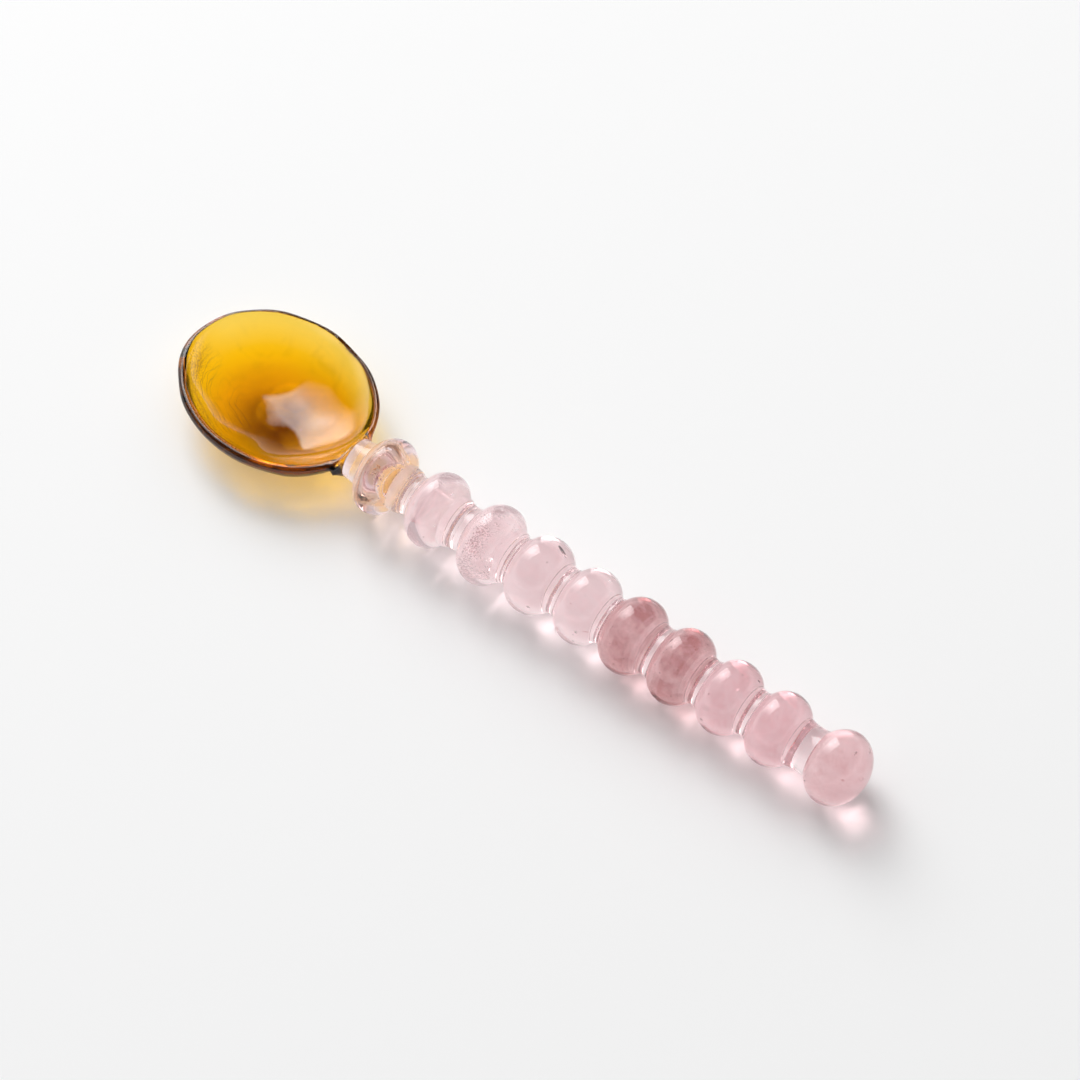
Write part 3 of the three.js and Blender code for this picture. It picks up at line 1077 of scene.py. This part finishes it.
class SPOON_OT_beads(bpy.types.Operator):
    """Winds the beads on the rod"""

    bl_idname = "spoon.beads"
    bl_label = "Beads"

    def execute(self, context):
        slots = {row["node"]: row["material_slot"] for row in frame["record"]["subparts"]}
        for number, name in enumerate(BEADS, start=1):
            piece = f"{name}_glass"
            mesh = self.bead_mesh(piece, name, number, context.scene.spoon_handle)
            material = self.bead_glass(piece, name, slots[name], context.scene.spoon_glass)
            add_piece(piece, mesh, name, material)
        return {"FINISHED"}

    def bead_mesh(self, piece, name, number, sizes):
        outline = bead_outline(BeadShape(name), sizes)
        bore = [(along, rod_radius(along) + BORE_GAP, 0.0) for along, _, _ in outline[::-BORE_STRIDE]]
        shares = np.linspace(-1, 1, len(bore) - 1)
        outside = [1.0] * len(outline) + [0.0] * len(shares) + [1.0]
        core = [0.0] * len(outline) + list((1 - shares ** 2) ** 3) + [0.0]
        hollows = bubble_faces(outline, BUBBLES.get(name, FEW_BUBBLES), sizes, seed=number + len(BEADS))
        return turned_mesh(
            piece, outline + bore, outside, sizes.segments, core, sizes.ripple,
            closed=True, seed=number, hollows=hollows)

    def bead_glass(self, piece, name, slot, colours):
        kind = slot.removesuffix("_glass")
        skin = getattr(colours, f"{kind}_skin")
        # The first bead's core is a painted reflection of the amber bowl seen through the bead
        core = colours.golden_core if name == BEADS[0] else getattr(colours, f"{kind}_core")
        return rose_glass(piece, getattr(colours, kind), skin, core, AIR_GRAINS.get(name, 0.0))


class SPOON_OT_end_knob(bpy.types.Operator):
    """Gathers the flattened knob over the rod's end"""

    bl_idname = "spoon.end_knob"
    bl_label = "End knob"

    def execute(self, context):
        sizes = context.scene.spoon_handle
        colours = context.scene.spoon_glass
        outline = knob_outline(sizes)
        bore_end = ROD_END + BORE_GAP
        mouth = outline[0][0]
        bore = [(along, rod_radius(along) + BORE_GAP, 0.0)
                for along in np.linspace(bore_end, mouth, KNOB_BORE_POINTS)]
        profile = [(bore_end, 0.0, 0.0), *bore, *outline]
        outside = [0.0] * len(bore) + [1.0] * len(outline)
        mesh = turned_mesh(
            "end_knob_glass", profile, outside, sizes.segments, ripple=sizes.ripple, seed=KNOB_SEED)
        material = rose_glass("end_knob_glass", colours.rose, colours.knob_skin)
        add_piece("end_knob_glass", mesh, "end_knob", material)
        return {"FINISHED"}


class SPOON_OT_stage(bpy.types.Operator):
    """Sets the floor, the softbox, the surroundings and the camera"""

    bl_idname = "spoon.stage"
    bl_label = "Stage"

    def execute(self, context):
        settings = context.scene.spoon_stage
        self.add_floor(settings)
        self.add_softbox(settings)
        self.add_surroundings(context.scene, settings)
        self.add_camera(context.scene, settings)
        context.scene.view_settings.view_transform = "Standard"
        context.scene.cycles.max_bounces = 24
        context.scene.cycles.transmission_bounces = 24
        context.scene.cycles.glossy_bounces = 8
        context.scene.cycles.blur_glossy = 0.2
        return {"FINISHED"}

    def add_floor(self, settings):
        mesh = bpy.data.meshes.new("floor")
        work = bmesh.new()
        bmesh.ops.create_grid(work, x_segments=1, y_segments=1, size=settings.floor_half_width)
        work.to_mesh(mesh)
        work.free()
        material = bpy.data.materials.new("pale_floor")
        material.use_nodes = True
        tree = material.node_tree
        colour = (*settings.floor_colour, 1.0)
        shader = tree.nodes["Principled BSDF"]
        shader.inputs["Base Color"].default_value = colour
        shader.inputs["Roughness"].default_value = 0.9
        shader.inputs["Specular IOR Level"].default_value = 0.0
        ray = shader_node(tree, "ShaderNodeLightPath").outputs
        through_glass = greater(tree, ray["Is Glossy Ray"], ray["Is Transmission Ray"])
        shown = greater(tree, ray["Is Camera Ray"], through_glass)
        paper = shader_node(tree, "ShaderNodeEmission", {"Color": colour, "Strength": 1.0}).outputs[0]
        look = shader_node(tree, "ShaderNodeMixShader", {
            0: times(tree, shown, settings.floor_paleness), 1: shader.outputs["BSDF"], 2: paper}).outputs[0]
        tree.links.new(look, tree.nodes["Material Output"].inputs["Surface"])
        mesh.materials.append(material)
        floor = bpy.data.objects.new("floor", mesh)
        floor.location.z = -settings.floor_gap
        bpy.context.scene.collection.objects.link(floor)

    def add_softbox(self, settings):
        light = bpy.data.lights.new("softbox", "AREA")
        light.shape = "SQUARE"
        light.size = settings.softbox_width
        light.energy = settings.softbox_radiance * math.pi * settings.softbox_width ** 2
        light.use_nodes = True
        tree = light.node_tree
        place = shader_node(tree, "ShaderNodeNewGeometry").outputs["Parametric"]
        sides = parts_of(tree, place)
        trim = settings.softbox_trim
        sharp_side = span(tree, sides["X"], trim, trim + settings.sharp_fade)
        soft_side = span(tree, sides["X"], 1.0, 1.0 - settings.soft_fade)
        ends = span(tree, difference(tree, sides["Y"], 0.5), 0.5, 0.5 - settings.end_fade)
        fades = times(tree, ends, times(tree, sharp_side, soft_side))
        from_middle = distance(tree, place, (0.5, 0.5, 0.0))
        glow = span(tree, from_middle, settings.glow_reach, 0.0, 1.0, settings.softbox_glow)
        tree.links.new(times(tree, glow, fades), tree.nodes["Emission"].inputs["Strength"])
        softbox = bpy.data.objects.new("softbox", light)
        bpy.context.scene.collection.objects.link(softbox)
        direction = Vector(settings.softbox_direction).normalized()
        softbox.location = Vector(settings.target) + direction * settings.softbox_distance
        softbox.rotation_euler = direction.to_track_quat("Z", "Y").to_euler()

    def add_surroundings(self, scene, settings):
        world = bpy.data.worlds.new("surroundings")
        world.use_nodes = True
        tree = world.node_tree
        direction = shader_node(tree, "ShaderNodeTexCoord").outputs["Generated"]
        height = parts_of(tree, direction)["Z"]
        ray = shader_node(tree, "ShaderNodeLightPath").outputs
        to_softbox = Vector(settings.softbox_direction).normalized()
        facing = shader_node(
            tree, "ShaderNodeVectorMath", {0: direction, 1: to_softbox},
            operation="DOT_PRODUCT").outputs["Value"]
        fill = span(tree, facing, 0.0, 0.6, settings.fill_away, settings.fill_near)
        mirrored = span(tree, height, 0.1, 0.4, settings.horizon, settings.zenith)
        backdrop = span(tree, height, 0.0, 0.8, settings.backdrop_low, settings.backdrop_high)
        behind = greater(tree, ray["Is Camera Ray"], ray["Is Transmission Ray"])
        brightness = blended(tree, ray["Is Glossy Ray"], fill, mirrored)
        brightness = blended(tree, behind, brightness, backdrop)
        background = tree.nodes["Background"]
        background.inputs["Color"].default_value = (1.0, 1.0, 1.0, 1.0)
        tree.links.new(brightness, background.inputs["Strength"])
        scene.world = world

    def add_camera(self, scene, settings):
        data = bpy.data.cameras.new("camera")
        data.lens = settings.lens
        data.sensor_width = SENSOR_WIDTH
        camera = bpy.data.objects.new("camera", data)
        scene.collection.objects.link(camera)
        level = math.cos(settings.elevation)
        back = Vector((
            math.sin(settings.azimuth) * level, -math.cos(settings.azimuth) * level,
            math.sin(settings.elevation)))
        camera.location = Vector(settings.target) + back * settings.distance
        camera.rotation_euler = back.to_track_quat("Z", "Y").to_euler()
        scene.camera = camera


class SPOON_PT_panel(bpy.types.Panel):
    """Lists the steps that build the spoon"""

    bl_idname = "SPOON_PT_panel"
    bl_label = "Glass Spoon"
    bl_space_type = "VIEW_3D"
    bl_region_type = "UI"
    bl_category = "Glass Spoon"

    def draw(self, context):
        for step in STEPS:
            self.layout.operator(step.bl_idname)


STEPS = (SPOON_OT_stage, SPOON_OT_bowl, SPOON_OT_core_rod, SPOON_OT_beads, SPOON_OT_end_knob)
SETTINGS = {
    "spoon_bowl": SpoonBowlSizes,
    "spoon_handle": SpoonHandleSizes,
    "spoon_glass": SpoonGlassColours,
    "spoon_stage": SpoonStageSettings,
}
CLASSES = (*SETTINGS.values(), *STEPS, SPOON_PT_panel)


def register():
    for each in CLASSES:
        bpy.utils.register_class(each)
    for name, group in SETTINGS.items():
        setattr(bpy.types.Scene, name, PointerProperty(type=group))


def unregister():
    for name in SETTINGS:
        delattr(bpy.types.Scene, name)
    for each in reversed(CLASSES):
        bpy.utils.unregister_class(each)


def main():
    register()
    bpy.ops.spoon.stage()
    bpy.ops.spoon.bowl()
    bpy.ops.spoon.core_rod()
    bpy.ops.spoon.beads()
    bpy.ops.spoon.end_knob()


if __name__ == "__main__":
    main()
